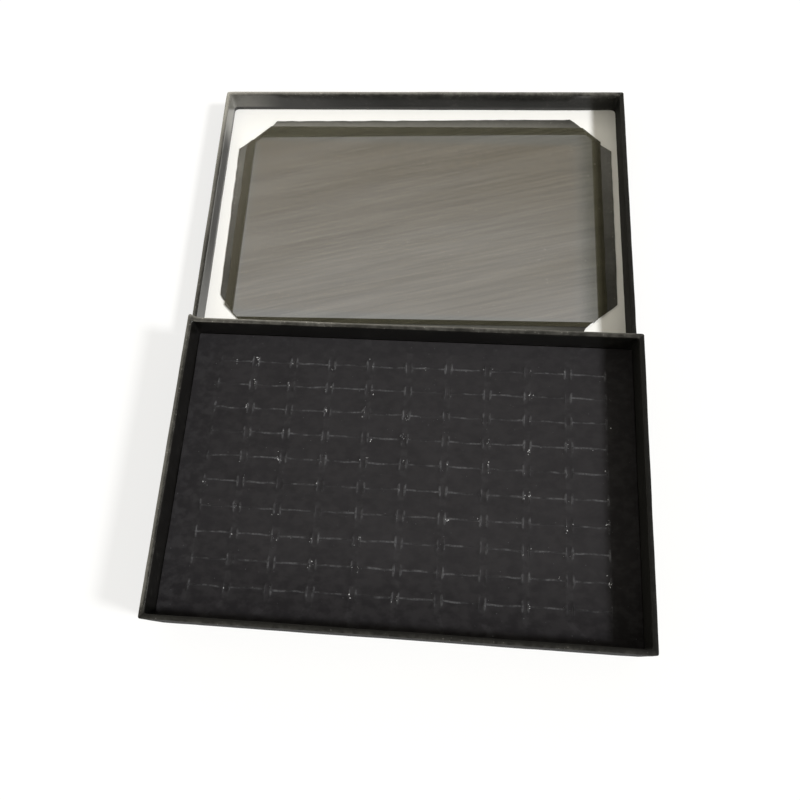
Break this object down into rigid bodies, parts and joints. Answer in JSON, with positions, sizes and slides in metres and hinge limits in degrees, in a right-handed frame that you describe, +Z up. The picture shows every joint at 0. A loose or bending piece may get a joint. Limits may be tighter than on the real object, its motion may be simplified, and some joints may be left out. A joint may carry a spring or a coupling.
{
  "type": "cufflink display box",
  "caption": "Black leatherette-wrapped board tray with a slit velvet pad for cufflinks, and a lift-off lid with a clear film window lying open behind it.",
  "frame": {"origin": "middle of the tray's underside, on the plane that the box lies on", "axes": "+X along the tray's long side, +Y from the tray towards the lid, +Z up out of both halves"},
  "size_m": [0.238, 0.3114, 0.0355],
  "materials": {
    "black_leatherette": "fine-grained black leatherette paper, semi-gloss",
    "black_velvet": "short black velvet pile, die-cut",
    "black_foam": "black soft foam, matt",
    "grey_board": "bare grey board, matt",
    "white_board": "white-faced board, smooth",
    "stay_paper": "brown gummed paper, matt",
    "clear_film": "clear plastic film, glossy"
  },
  "bodies": {
    "tray": {"tray_base_board": "grey_board", "tray_wall_front": "grey_board", "tray_wall_back": "grey_board", "tray_wall_left": "grey_board", "tray_wall_right": "grey_board", "tray_wrap": "black_leatherette", "tray_base_paper": "black_leatherette", "tray_corner_stay_front_left": "stay_paper", "tray_corner_stay_front_right": "stay_paper", "tray_corner_stay_back_left": "stay_paper", "tray_corner_stay_back_right": "stay_paper"},
    "slit_pad": {"insert_card": "grey_board", "foam_pad": "black_foam", "velvet_face": "black_velvet"},
    "lid": {"lid_top_board": "white_board", "lid_wall_front": "grey_board", "lid_wall_back": "grey_board", "lid_wall_left": "grey_board", "lid_wall_right": "grey_board", "lid_side_wrap": "black_leatherette", "lid_face_sheet": "black_leatherette", "lid_corner_stay_front_left": "stay_paper", "lid_corner_stay_front_right": "stay_paper", "lid_corner_stay_back_left": "stay_paper", "lid_corner_stay_back_right": "stay_paper", "window_film": "clear_film"}
  },
  "joints": [
    {"name": "lid_lift", "type": "slide", "parent": "tray", "child": "lid", "axis": [0, 0, 1], "range_m": [0, 0.06]},
    {"name": "insert_lift", "type": "slide", "parent": "tray", "child": "slit_pad", "axis": [0, 0, 1], "range_m": [0, 0.045]}
  ]
}
